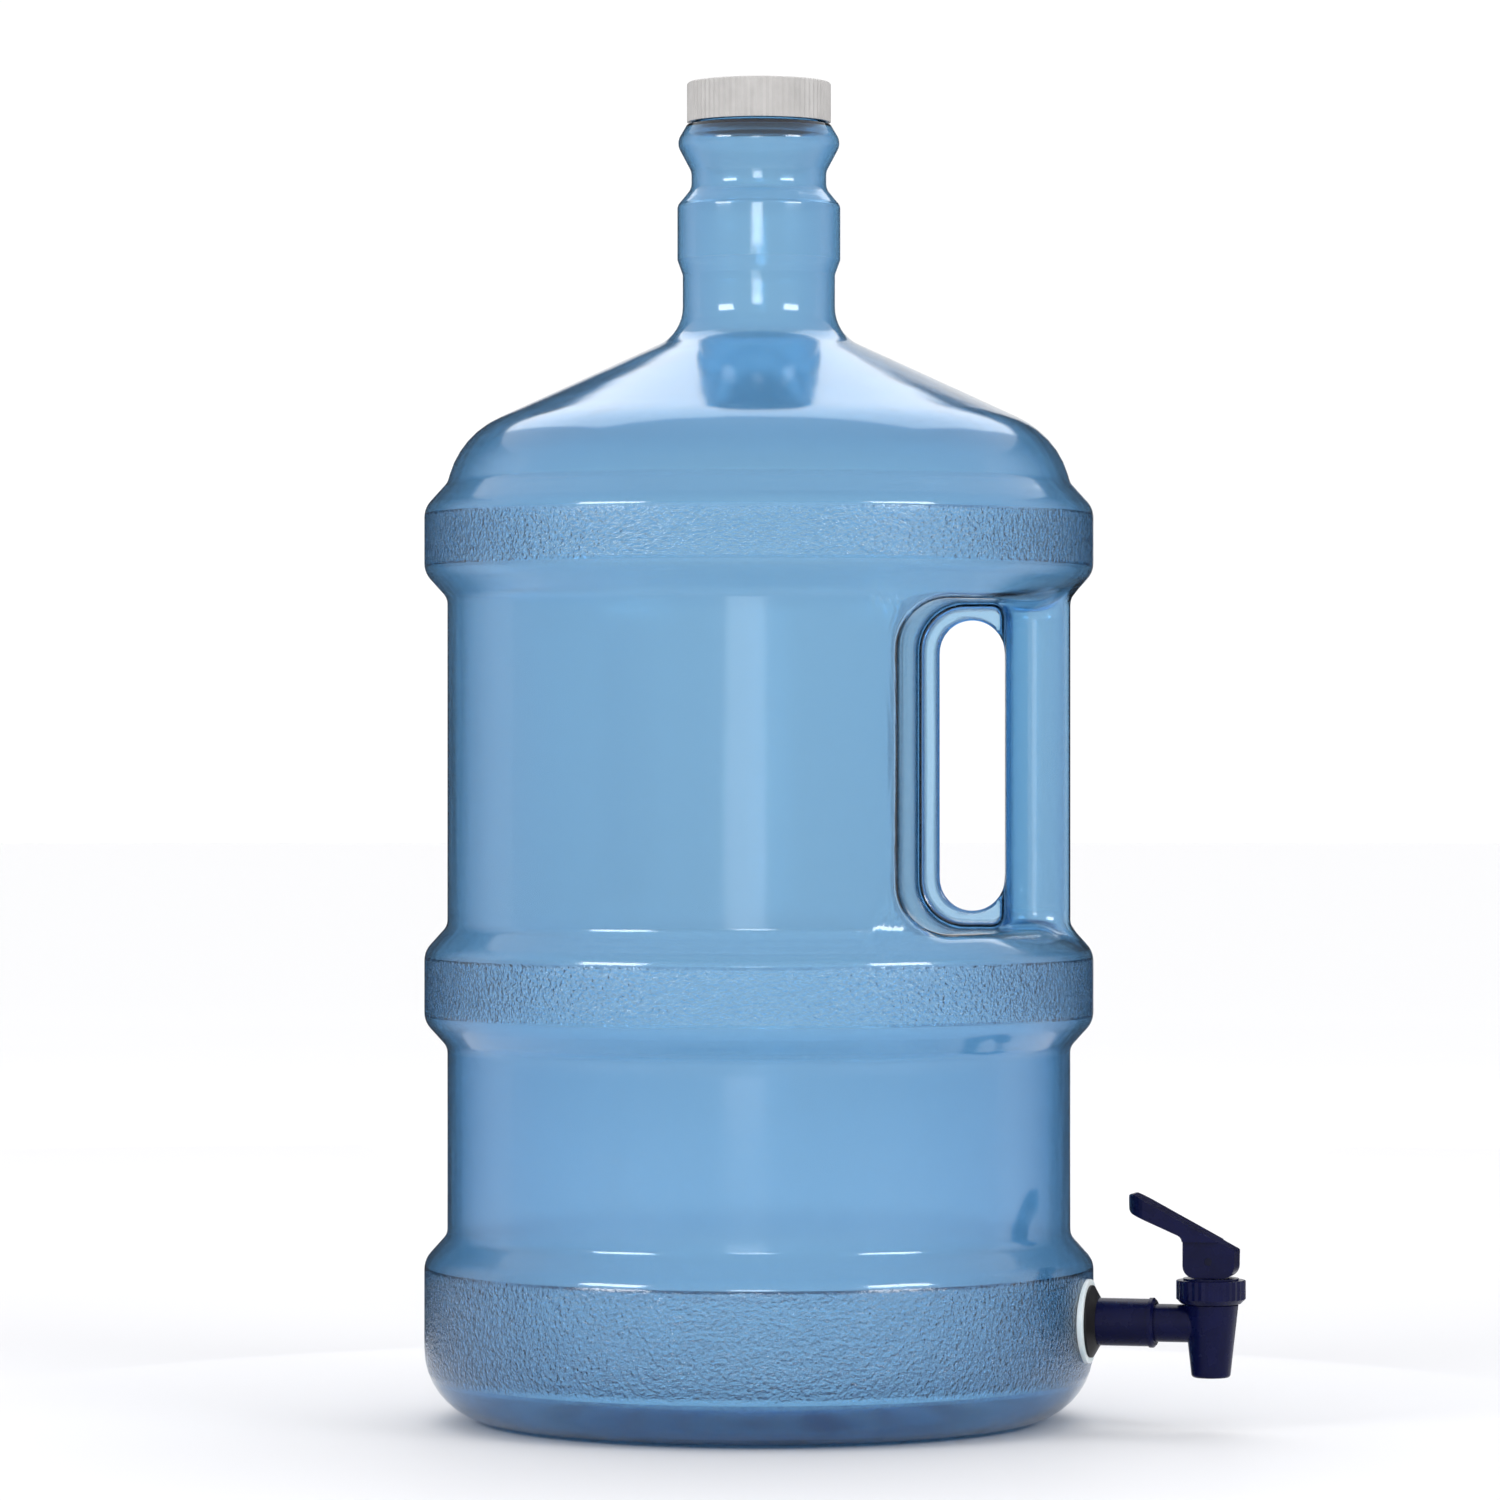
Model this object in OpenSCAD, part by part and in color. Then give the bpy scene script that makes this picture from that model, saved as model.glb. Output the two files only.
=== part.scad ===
// Large water jug: a blow-moulded bottle with an inset handle, a screw cap and a lever tap.
// The jug stands on its foot ring at z = 0 with its axis on Z. The handle is at +X and the tap beside it.

/* [Bottle] */
// Diameter over the three bands
band_d = 225; // [200:1:270]
// How far the plain walls stand in from the bands
waist_in = 7.75; // [4:0.25:10]
// Wall thickness of the bottle
wall = 1.6; // [1.2:0.1:2.2]
// Height of the lowest band, from the foot to its upper edge
low_band_h = 53.7; // [44:0.1:66]
// Height of the plain wall between the low and middle bands
lower_waist_h = 63; // [30:1:120]
// Height of the middle band
mid_band_h = 23.5; // [16:0.5:40]
// Height of the plain wall that the handle sits in
upper_waist_h = 110; // [90:1:150]
// Height of the top band
top_band_h = 21.6; // [16:0.1:40]
// Height of the slope beside each band
band_slope_h = 8.6; // [6:0.1:12]
// Rise of the shoulder cone, in degrees from level
cone_angle = 24.8; // [18:0.1:34]
// Radius of the rounded foot
foot_corner_r = 24; // [14:0.5:28]
// How far the middle of the base is pushed up
push_up = 8; // [4:0.5:14]

/* [Neck] */
// Diameter of the neck ring that a dispenser takes
neck_ring_d = 54.9; // [50:0.1:62]
// Height of the plain neck below the ring
neck_plain_h = 19.8; // [14:0.1:36]
// Height of the neck ring
neck_ring_h = 18.3; // [12:0.1:26]
// Depth of the groove above the neck ring
neck_groove = 4.75; // [3:0.05:6]

/* [Handle] */
// Width of the grip, along X
grip_w = 22; // [18:0.1:28]
// Depth of the grip, along Y
grip_d = 28; // [22:0.5:34]
// Width of the finger slot
slot_w = 21.9; // [18:0.1:28]
// Width of the web between the slot and the side of the handle pocket
web_side = 7.1; // [4:0.1:12]
// Height of the web above and below the finger slot
web_end = 5.8; // [4:0.1:12]
// Thickness of the web
web_t = 3; // [2.4:0.1:3.1]
// Draft of the side of the pocket, in degrees
pocket_draft = 3.6; // [2:0.1:9]

/* [Cap] */
// Outside diameter of the screw cap
cap_d = 48.5; // [44:0.1:54]
// Height of the screw cap
cap_h = 13.5; // [12.5:0.1:20]
// Wall of the cap's skirt
cap_wall = 1.5; // [1.2:0.1:2]
// Thickness of the cap's top
cap_top_t = 1.4; // [1:0.1:2.4]
// Thickness of the sealing liner
liner_t = 1; // [0.6:0.1:1.6]
// Rise of the cap's thread in one turn
thread_pitch = 4.2; // [4:0.1:4.4]
// Number of grip ribs on the cap
cap_ribs = 72; // [36:2:96]

/* [Tap] */
// Height of the tap's shank above the floor
tap_z = 35; // [33:0.5:38]
// Angle of the tap round the jug, from the handle
tap_angle = -12; // [-90:1:90]
// Distance from the wall to the tap's valve
tap_reach = 41.7; // [38:0.1:60]
// Diameter of the threaded shank
shank_d = 11.2; // [10:0.1:12]
// Diameter of the water way
water_d = 8; // [6:0.1:8.4]
// Outside diameter of the spacer sleeve
sleeve_d = 15.8; // [14.5:0.1:20]
// Length of the spacer sleeve
sleeve_l = 19.2; // [14:0.1:23]
// Diameter of the gasket on the wall
gasket_d = 28; // [25:0.5:30]
// Diameter of the bevelled washer
washer_d = 24; // [20:0.1:24.5]
// Diameter of the bonnet
bonnet_d = 23; // [20.5:0.1:26]
// Length of the lever, from the valve to its tip
lever_l = 27.5; // [22:0.5:36]
// Rise of the lever's top, in degrees from level
lever_rise = 28.1; // [20:0.1:34]
// Width of the lever's hub, across the tap
hub_w = 11; // [9:0.5:14]
// Diameter of the lever's pin
pin_d = 2.5; // [2:0.1:3]

/* [Hidden] */
$fn = 96;

blue = [0.45, 0.66, 0.84, 0.6];
navy = [0.08, 0.09, 0.22];
ivory = [0.86, 0.85, 0.83];

arc_step = 12;        // degrees of turn that one straight of an outline's arc stands for
running_gap = 0.2;    // clearance between pieces that move past each other
seat_gap = 0.1;       // what is left open where a moving piece rests on its seat
seal_gap = 0.02;      // what is left open where a flat seal meets the jug's curved wall
over = 1;             // how far a cutter reaches past the face it opens

// ---------- outlines ----------

function unit(v) = v / norm(v);
function left_of(v) = [-v[1], v[0]];
function xy(p) = [p[0], p[1]];

// The arc that rounds the corner b between a and c. The corner's third number is its radius.
function corner_arc(a, b, c, r) =
    let (u = unit(xy(a) - xy(b)), v = unit(xy(c) - xy(b)),
         half = acos(u * v) / 2,
         centre = xy(b) + unit(u + v) * r / sin(half),
         turn = 180 - 2 * half,
         side = left_of(u) * v > 0 ? -1 : 1,
         first = xy(b) + u * r / tan(half) - centre,
         start = atan2(first[1], first[0]),
         n = max(2, ceil(turn / arc_step)))
    [for (i = [0:n]) centre + r * [cos(start + side * turn * i / n), sin(start + side * turn * i / n)]];

// An open path with its corners rounded
function rounded_path(p) =
    [for (i = [0:len(p) - 1])
        each (i == 0 || i == len(p) - 1 || p[i][2] == 0)
            ? [xy(p[i])] : corner_arc(p[i - 1], p[i], p[i + 1], p[i][2])];

// A closed outline with its corners rounded
function rounded_loop(p) =
    [for (i = [0:len(p) - 1])
        each p[i][2] == 0
            ? [xy(p[i])]
            : corner_arc(p[(i + len(p) - 1) % len(p)], p[i], p[(i + 1) % len(p)], p[i][2])];

// The same path moved to its left by t. A corner that turns left gets a smaller radius, and one that
// turns right a larger one, so that the wall between the two paths has one thickness.
function inset_corner(a, b, c, t) =
    let (n1 = left_of(unit(xy(b) - xy(a))), n2 = left_of(unit(xy(c) - xy(b))),
         moved = xy(b) + (n1 + n2) * t / (1 + n1 * n2),
         turns_left = left_of(xy(b) - xy(a)) * (xy(c) - xy(b)) > 0,
         r = b[2] == 0 ? 0 : turns_left ? max(b[2] - t, 0.3) : b[2] + t)
    [moved[0], moved[1], r];
function inset_path(p, t) =
    [for (i = [0:len(p) - 1])
        i == 0 ? [p[0][0], p[0][1] + t, 0]
        : i == len(p) - 1 ? [p[i][0] - t, p[i][1], 0]
        : inset_corner(p[i - 1], p[i], p[i + 1], t)];

// ---------- the bottle's sizes ----------

band_r = band_d / 2;
body_r = band_r - waist_in;
foot_r = band_r - foot_corner_r;
foot_ring_w = 13;                              // width of the flat ring that the jug stands on
push_up_run = 12;                              // width of the slope inside the foot ring

low_waist_z = low_band_h + band_slope_h;
mid_band_z = low_waist_z + lower_waist_h;
mid_band_top_z = mid_band_z + band_slope_h + mid_band_h;
waist_z = mid_band_top_z + band_slope_h;       // bottom of the plain wall that holds the handle
waist_top_z = waist_z + upper_waist_h;
top_band_z = waist_top_z + band_slope_h;
top_band_top_z = top_band_z + top_band_h;
shoulder_z = top_band_top_z + band_slope_h;
shoulder_h = 15.8;                             // steep stretch under the shoulder's curve
shoulder_in = 4.5;
shoulder_r = body_r - shoulder_in;
shoulder_curve_r = 30;

neck_ring_r = neck_ring_d / 2;
neck_step = 1.8;                               // how far the neck ring stands out of the plain neck
neck_r = neck_ring_r - neck_step;
neck_z = shoulder_z + shoulder_h + (shoulder_r - neck_r) * tan(cone_angle);
neck_ring_z = neck_z + neck_plain_h + 5;
neck_ring_top_z = neck_ring_z + neck_ring_h;
groove_r = neck_ring_r - neck_groove;
groove_z = neck_ring_top_z + 5.8;
bead_r = neck_ring_r + 0.4;
bead_z = groove_z + 15.3;
finish_z = bead_z + 6.6;                       // foot of the threaded finish, hidden by the cap

cap_r = cap_d / 2;
cap_bore_r = cap_r - cap_wall;
thread_clear = 0.3;
thread_h = 1.1;                                // height of the thread's ridge
crest_r = cap_bore_r - thread_clear;
finish_r = crest_r - thread_h;
mouth_r = finish_r - wall;
cap_z = finish_z + 0.4;
cap_top_z = cap_z + cap_h;
lip_z = cap_top_z - cap_top_t - liner_t - seat_gap;

// The bottle's outside, from the middle of the base up to the lip: [radius, height, fillet]
bottle_outline = [
    [0, push_up, 0],
    [foot_r - foot_ring_w - push_up_run, push_up, 12],
    [foot_r - foot_ring_w, 0, 5],
    [band_r, 0, foot_corner_r],
    [band_r, low_band_h, 8],
    [body_r, low_waist_z, 5],
    [body_r, mid_band_z, 5],
    [band_r, mid_band_z + band_slope_h, 8],
    [band_r, mid_band_top_z, 8],
    [body_r, waist_z, 5],
    [body_r, waist_top_z, 5],
    [band_r, top_band_z, 8],
    [band_r, top_band_top_z, 8],
    [body_r, shoulder_z, 5],
    [shoulder_r, shoulder_z + shoulder_h, shoulder_curve_r],
    [neck_r, neck_z, 14],
    [neck_r, neck_z + neck_plain_h, 2],
    [neck_ring_r, neck_ring_z, 2],
    [neck_ring_r, neck_ring_top_z, 3],
    [groove_r, groove_z, 5],
    [groove_r, groove_z + 5.6, 5],
    [bead_r, bead_z, 5],
    [finish_r + 3, finish_z - 0.6, 0.6],
    [finish_r, finish_z, 0.6],
    [finish_r, lip_z, 0]];

// A solid of the bottle's outline, moved in by t. The inner one runs on through the mouth.
module bottle_form(t) {
    path = t == 0 ? bottle_outline : inset_path(bottle_outline, t);
    top = t == 0 ? lip_z : lip_z + over;
    last = path[len(path) - 1];
    whole = concat(rounded_path(path), [[last[0], top], [0, top]]);
    rotate_extrude() polygon(whole);
}

// ---------- the handle ----------

grip_x = body_r - grip_w;                      // the grip's inner face
slot_x = grip_x - slot_w;
pocket_x = slot_x - web_side;                  // where the pocket's side meets the web
pocket_z = waist_z - 0.8;
pocket_top_z = waist_top_z - 1.7;
pocket_corner_r = 16;
grip_corner_r = 8;

// The grip's section, open towards the jug's outside so that the bottle's own wall closes it
module grip_section(t) {
    r = grip_corner_r - t;
    half = grip_d / 2 - t;
    x0 = grip_x + t;
    bulge = body_r + 2 - t;                    // the outer corners run out through the wall
    polygon(rounded_loop([[x0, -half, r], [bulge, -half, r], [bulge, half, r], [x0, half, r]]));
}

// One side of the pocket in plan: everything outside its drafted wall and off the web
module pocket_plan(t) {
    near = web_t / 2 - t;
    far = band_r + 10;
    lean = (far - near) * tan(pocket_draft);
    difference() {
        polygon([[pocket_x - t, near], [far, near], [far, far], [pocket_x - t - lean, far]]);
        grip_section(t);
    }
}

// The pocket's outline seen from the front, along Y
module pocket_front(t) {
    r = pocket_corner_r + t;
    x0 = pocket_x - t - band_r * tan(pocket_draft);
    polygon(rounded_loop([[x0, pocket_z - t, r], [band_r + 12, pocket_z - t, 0],
                          [band_r + 12, pocket_top_z + t, 0], [x0, pocket_top_z + t, r]]));
}

module pocket(t) {
    intersection() {
        translate([0, 0, pocket_z - 20])
            linear_extrude(height = pocket_top_z - pocket_z + 40) pocket_plan(t);
        translate([0, band_r + 15, 0]) rotate([90, 0, 0])
            linear_extrude(height = band_r + 30) pocket_front(t);
    }
}

// Front and back pockets. They are mirror images across the mould's parting plane, y = 0.
module pockets(t) {
    pocket(t);
    mirror([0, 1, 0]) pocket(t);
}

module finger_slot() {
    z0 = pocket_z + web_end;
    z1 = pocket_top_z - web_end;
    r = slot_w / 2 - 0.01;
    translate([0, web_t, 0]) rotate([90, 0, 0]) linear_extrude(height = 2 * web_t)
        polygon(rounded_loop([[slot_x, z0, r], [grip_x, z0, r], [grip_x, z1, r], [slot_x, z1, r]]));
}

module bottle() {
    color(blue) union() {
        difference() {
            bottle_form(0);
            pockets(0);
            difference() {
                bottle_form(wall);
                pockets(wall);
            }
            finger_slot();
            at_tap() along_x(band_r - 12, 24, shank_hole_r);
        }
        neck_thread();
    }
}

// ---------- threads ----------

// A helical ridge. Its foot is buried at foot_r, it stands out to top_r, and it fades in and out at its ends.
module helix(foot_r, wall_r, top_r, z, start, turns, foot_w, top_w) {
    steps = ceil(turns * 24);
    fade = 3;                                  // steps over which the ridge comes up to its full height
    hidden = top_r > wall_r ? -0.1 : 0.1;
    function ring(i) =
        let (a = start + 360 * turns * i / steps,
             rise = min(1, i / fade, (steps - i) / fade),
             r = wall_r + hidden + (top_r - wall_r - hidden) * rise,
             mid = z + thread_pitch * turns * i / steps)
        [for (p = [[foot_r, -foot_w / 2], [r, -top_w / 2], [r, top_w / 2], [foot_r, foot_w / 2]])
            [p[0] * cos(a), p[0] * sin(a), mid + p[1]]];
    points = [for (i = [0:steps]) each ring(i)];
    outward = top_r > wall_r;
    sides = [for (i = [0:steps - 1], k = [0:3])
        let (a = 4 * i + k, b = 4 * i + (k + 1) % 4)
        each [[a, b, b + 4], [a, b + 4, a + 4]]];
    last = 4 * steps;
    ends = [[0, 2, 1], [0, 3, 2], [last, last + 1, last + 2], [last, last + 2, last + 3]];
    faces = concat(sides, ends);
    polyhedron(points, outward ? faces : [for (f = faces) [f[2], f[1], f[0]]]);
}

thread_z = finish_z + 2.4;                     // middle of the neck's thread where it starts
thread_turns = 1.25;

module neck_thread() {
    helix(finish_r - 0.6, finish_r, crest_r, thread_z, 0, thread_turns, 2.4, 1);
}

// The cap's thread lies half a pitch under the neck's
module cap_thread() {
    helix(cap_bore_r + 0.5, cap_bore_r, crest_r - 0.65, thread_z - thread_pitch / 2 + thread_pitch / 8,
          45, 1, 2, 0.9);
}

// ---------- cap ----------

// A round outline with shallow ribs
module ribbed_disc(r, ribs, depth) {
    polygon([for (i = [0:2 * ribs - 1])
        (r - (i % 2) * depth) * [cos(180 * i / ribs), sin(180 * i / ribs)]]);
}

module screw_cap() {
    edge_r = 1.4;
    color(ivory) union() {
        difference() {
            intersection() {
                translate([0, 0, cap_z]) linear_extrude(height = cap_h) ribbed_disc(cap_r, cap_ribs, 0.35);
                rotate_extrude() polygon(rounded_path([[0, cap_z, 0], [cap_r + 0.1, cap_z, 0],
                                                       [cap_r + 0.1, cap_top_z, edge_r], [0, cap_top_z, 0]]));
            }
            translate([0, 0, cap_z - over]) cylinder(r = cap_bore_r, h = cap_h - cap_top_t + over);
        }
        cap_thread();
    }
}

module cap_liner() {
    color("whitesmoke") translate([0, 0, cap_top_z - cap_top_t - liner_t])
        cylinder(r = cap_bore_r - 0.3, h = liner_t);
}

// ---------- tap ----------

shank_r = shank_d / 2;
water_r = water_d / 2;
shank_hole_r = shank_r + 0.4;
valve_x = band_r + tap_reach;
gasket_t = 1.1;                                // at the middle, where the wall stands out furthest
gasket_x = band_r + gasket_t;
washer_t = 3;
sleeve_x = gasket_x + washer_t;
sleeve_end_x = sleeve_x + sleeve_l;
barrel_r = shank_r + 0.7;                      // the tap's barrel outside the sleeve
barrel_x = sleeve_end_x - 1.5;                 // its end, seated in the sleeve
inner_washer_r = 12;
nut_af = 20;                                   // across the flats
nut_r = nut_af / 2 / cos(30);
nut_flange_r = 11;
// The inner washer's flat side, where the nut's rim clears the curved wall
nut_x = sqrt(pow(band_r - wall, 2) - pow(inner_washer_r, 2)) - 1.5;
nut_t = 7;
shank_x = nut_x - nut_t - 3.5;

bonnet_r = bonnet_d / 2;
body_neck_r = bonnet_r - 2.7;
skirt_z = 6.8;                                 // bottom of the bonnet, above the shank's middle
body_top_z = 10.9;
cup_flange_t = 1.5;
bonnet_plate_z = body_top_z + cup_flange_t;
bonnet_top_z = bonnet_plate_z + 2.2;
cam_z = bonnet_top_z + 0.6;                    // the raised face that the lever rocks on
seat_z = -5.2;
outlet_z = -17.7;
chamber_r = 6.3;
stem_r = 2.2;
pin_r = pin_d / 2;
hub_z = cam_z + running_gap;
hub_half = 8.6;
hub_corner_r = 4;
pin_z = hub_z + hub_corner_r + 1.5;

// Places children in the tap's own frame: x away from the jug's axis, z from the shank's middle
module at_tap() { rotate([0, 0, tap_angle]) translate([0, 0, tap_z]) children(); }
module at_valve() { at_tap() translate([valve_x, 0, 0]) children(); }

// A round bar along x
module along_x(x, l, r) { translate([x, 0, 0]) rotate([0, 90, 0]) cylinder(r = r, h = l); }
module cone_x(x, l, r1, r2) { translate([x, 0, 0]) rotate([0, 90, 0]) cylinder(r1 = r1, r2 = r2, h = l); }
// A round bar across the tap, at a height
module across(z, l, r) { translate([0, l / 2, z]) rotate([90, 0, 0]) cylinder(r = r, h = l); }

// The jug's own wall surface in the tap's frame, which the gaskets fit
module wall_surface(t) { translate([0, 0, -tap_z]) bottle_form(t, $fn = 480); }

module wall_gasket() {
    color("white") at_tap() difference() {
        along_x(band_r - 3, 3 + gasket_t, gasket_d / 2);
        wall_surface(0);
        along_x(band_r - 6, 12, shank_r + 0.2);
    }
}

module bevel_washer() {
    rim = 0.8;                                 // straight rim before the bevel
    color([0.05, 0.05, 0.06]) at_tap() difference() {
        union() {
            along_x(gasket_x, rim, washer_d / 2);
            cone_x(gasket_x + rim, washer_t - rim, washer_d / 2, sleeve_d / 2 + 0.4);
        }
        along_x(gasket_x - over, washer_t + 2 * over, shank_r + 0.15);
    }
}

module inner_washer() {
    color("whitesmoke") at_tap() intersection() {
        difference() {
            along_x(nut_x, 4, inner_washer_r);
            along_x(nut_x - over, 8, shank_r + 0.2);
        }
        wall_surface(wall + seal_gap);
    }
}

module shank_nut() {
    color("ivory") at_tap() difference() {
        union() {
            along_x(nut_x - 1.5, 1.5, nut_flange_r);
            translate([nut_x - nut_t, 0, 0]) rotate([0, 90, 0]) cylinder(r = nut_r, h = nut_t - 1.5, $fn = 6);
        }
        along_x(nut_x - nut_t - over, nut_t + 2 * over, shank_r + 0.05);
    }
}

module spacer_sleeve() {
    lip_l = 1.2;
    lip_r = sleeve_d / 2 + 0.4;
    color(navy) at_tap() difference() {
        union() {
            along_x(sleeve_x, sleeve_l - 0.8, sleeve_d / 2);
            along_x(sleeve_end_x - lip_l - 0.8, lip_l, lip_r);
            cone_x(sleeve_end_x - 0.8, 0.8, lip_r, lip_r - 0.8);
        }
        along_x(sleeve_x - over, sleeve_l + 2 * over, shank_r + 0.1);
        along_x(barrel_x, 3, barrel_r + 0.1);
    }
}

// The chamber and nozzle, [radius, height] about the valve's axis
chamber_outline = [
    [0, outlet_z, 0], [6.4, outlet_z, 1.2], [body_neck_r + 0.3, skirt_z - 0.2, 0.4],
    [body_neck_r, skirt_z - 0.2, 0], [body_neck_r, body_top_z, 0], [0, body_top_z, 0]];

module tap_body() {
    color(navy) difference() {
        union() {
            at_tap() along_x(shank_x, valve_x - shank_x, shank_r);
            at_tap() along_x(barrel_x, valve_x - barrel_x, barrel_r);
            at_valve() rotate_extrude() polygon(rounded_path(chamber_outline));
        }
        at_tap() along_x(shank_x - over, valve_x - shank_x + over, water_r - 0.2);
        at_valve() translate([0, 0, seat_z]) cylinder(r = chamber_r, h = body_top_z - seat_z + over);
        at_valve() translate([0, 0, outlet_z - over]) cylinder(r = water_r, h = seat_z - outlet_z + 2 * over);
    }
}

module bonnet() {
    color(navy) at_valve() difference() {
        union() {
            intersection() {
                translate([0, 0, skirt_z]) linear_extrude(height = bonnet_top_z - skirt_z)
                    ribbed_disc(bonnet_r, 30, 0.25);
                rotate_extrude() polygon(rounded_path([
                    [0, skirt_z, 0], [bonnet_r - 1.6, skirt_z, 0], [bonnet_r + 0.1, skirt_z + 1.7, 0],
                    [bonnet_r + 0.1, bonnet_top_z, 0.6], [0, bonnet_top_z, 0]]));
            }
            translate([0, 0, bonnet_top_z - 0.5]) cylinder(r = hub_half + 0.6, h = cam_z - bonnet_top_z + 0.5);
        }
        translate([0, 0, skirt_z - over]) cylinder(r = body_neck_r + running_gap, h = bonnet_plate_z - skirt_z + over);
        translate([0, 0, bonnet_plate_z - over]) cylinder(r = stem_r + running_gap, h = 6);
    }
}

// The soft seal, a bell that is clamped at its rim and closes the outlet with its plug
module seat_cup() {
    clear = 0.15;
    barb_r = stem_r + 0.8 + clear;
    neck_bore = stem_r + clear;
    color([0.9, 0.92, 0.92]) at_valve() rotate_extrude() polygon([
        [0, seat_z], [5.4, seat_z], [5.6, seat_z + 0.6], [5.6, seat_z + 3], [3.9, seat_z + 4.4],
        [3.9, 3], [5.9, 8.2], [6.1, body_top_z], [body_neck_r - 0.1, body_top_z],
        [body_neck_r - 0.1, bonnet_plate_z], [5.2, bonnet_plate_z], [5, 8.4], [neck_bore, 3.2],
        [neck_bore, seat_z + 3.2], [barb_r, seat_z + 3.2], [barb_r, seat_z + 1.2], [0, seat_z + 1.2]]);
}

head_t = 4.6;                                  // the stem's flat head, across the tap
head_half = 2.6;

module valve_stem() {
    color("white") at_valve() difference() {
        union() {
            translate([0, 0, seat_z + 1.4]) cylinder(r = stem_r + 0.8, h = 1.6);
            translate([0, 0, seat_z + 2]) cylinder(r = stem_r, h = cam_z + 1 - seat_z - 2);
            translate([-head_half, -head_t / 2, cam_z + 0.4]) cube([2 * head_half, head_t, pin_z - cam_z - 0.4]);
            across(pin_z, head_t, head_half);
        }
        across(pin_z, 2 * head_t, pin_r + 0.07);
    }
}

// The lever seen from the side: x from the valve's axis and z from the shank's middle
function lever_top(x) = hub_z + 9.2 + (hub_half + 0.2 - x) * tan(lever_rise);
lever_side = [
    [-hub_half, hub_z, hub_corner_r],
    [hub_half, hub_z, hub_corner_r],
    [hub_half + 0.2, lever_top(hub_half + 0.2), 0.8],
    [-lever_l, lever_top(-lever_l), 1.5],
    [-lever_l + 0.4, lever_top(-lever_l + 0.4) - 6.9, 3],
    [-hub_half, hub_z + 13.5, 2.5]];

module lever() {
    slot_half = head_t / 2 + running_gap;
    paddle_w = hub_w + 3;
    tip_r = paddle_w / 2 - 0.01;
    color(navy) at_valve() difference() {
        intersection() {
            translate([0, paddle_w, 0]) rotate([90, 0, 0]) linear_extrude(height = 2 * paddle_w)
                polygon(rounded_loop(lever_side));
            union() {
                translate([-hub_half, -hub_w / 2, hub_z - over]) cube([3 * hub_half, hub_w, 60]);
                translate([0, 0, hub_z + 12]) linear_extrude(height = 60)
                    polygon(rounded_loop([[-lever_l, -paddle_w / 2, tip_r], [3, -paddle_w / 2, 0],
                                          [3, paddle_w / 2, 0], [-lever_l, paddle_w / 2, tip_r]]));
            }
        }
        translate([-6.9, -slot_half, hub_z - over]) cube([10.2, 2 * slot_half, pin_z - hub_z + over + 3.3]);
        across(pin_z, hub_w + 2, pin_r + 0.02);
    }
}

module lever_pin() {
    color("silver") at_valve() across(pin_z, hub_w - 0.4, pin_r);
}

bottle();
screw_cap();
cap_liner();
wall_gasket();
bevel_washer();
inner_washer();
shank_nut();
spacer_sleeve();
tap_body();
bonnet();
seat_cup();
valve_stem();
lever();
lever_pin();
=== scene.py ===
import math
import bmesh
import bpy
import numpy as np
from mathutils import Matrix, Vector


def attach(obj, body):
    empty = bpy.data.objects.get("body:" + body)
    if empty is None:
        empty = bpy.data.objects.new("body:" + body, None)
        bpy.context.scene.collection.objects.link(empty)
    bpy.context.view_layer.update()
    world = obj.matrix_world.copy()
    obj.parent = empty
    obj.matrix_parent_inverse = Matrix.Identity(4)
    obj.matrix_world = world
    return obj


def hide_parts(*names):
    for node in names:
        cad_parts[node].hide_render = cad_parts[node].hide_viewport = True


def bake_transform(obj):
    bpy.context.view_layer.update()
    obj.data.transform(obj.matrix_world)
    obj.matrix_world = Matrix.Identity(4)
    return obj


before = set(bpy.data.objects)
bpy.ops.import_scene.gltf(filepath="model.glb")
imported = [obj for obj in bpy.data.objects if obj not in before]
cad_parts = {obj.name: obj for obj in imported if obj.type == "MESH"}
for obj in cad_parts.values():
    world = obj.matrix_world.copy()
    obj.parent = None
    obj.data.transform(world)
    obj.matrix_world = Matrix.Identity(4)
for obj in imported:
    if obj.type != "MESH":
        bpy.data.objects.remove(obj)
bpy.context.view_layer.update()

MM = 0.001


# ---------- colours and nodes ----------
# A colour Mix takes its factor at socket 0 and its two colours at 6 and 7, and gives its colour at output 2.

def linear(hex_code):
    """An sRGB hex colour as the linear RGBA that the shaders take."""
    channels = [int(hex_code[i:i + 2], 16) / 255 for i in (1, 3, 5)]
    return tuple(c / 12.92 if c <= 0.04045 else ((c + 0.055) / 1.055) ** 2.4
                 for c in channels) + (1.0,)


def add(tree, kind, inputs=None, **settings):
    """Adds one node. settings are its own; inputs are numbers, colours or the sockets that feed it."""
    made = tree.nodes.new("ShaderNode" + kind)
    for name, value in settings.items():
        setattr(made, name, value)
    for socket, value in (inputs or {}).items():
        if isinstance(value, bpy.types.NodeSocket):
            tree.links.new(value, made.inputs[socket])
        else:
            made.inputs[socket].default_value = value
    return made


def new_finish(name):
    """An empty material and its node tree, with an output node."""
    finish = bpy.data.materials.new(name)
    finish.use_nodes = True
    finish.node_tree.nodes.clear()
    return finish, finish.node_tree, add(finish.node_tree, "OutputMaterial")


def per_mm(spacing_mm):
    """The texture scale that gives one feature every so many millimetres."""
    return 1 / (spacing_mm * MM)


# ---------- finishes ----------

WAVE_MM, WAVE_DEPTH_MM, WAVE_STRETCH = 26, 0.6, 0.16
# The real grain is about 1 mm across. It is drawn a little coarser, so that it shows.
HAMMER_MM, HAMMER_DEPTH_MM = 1.4, 0.65
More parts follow.
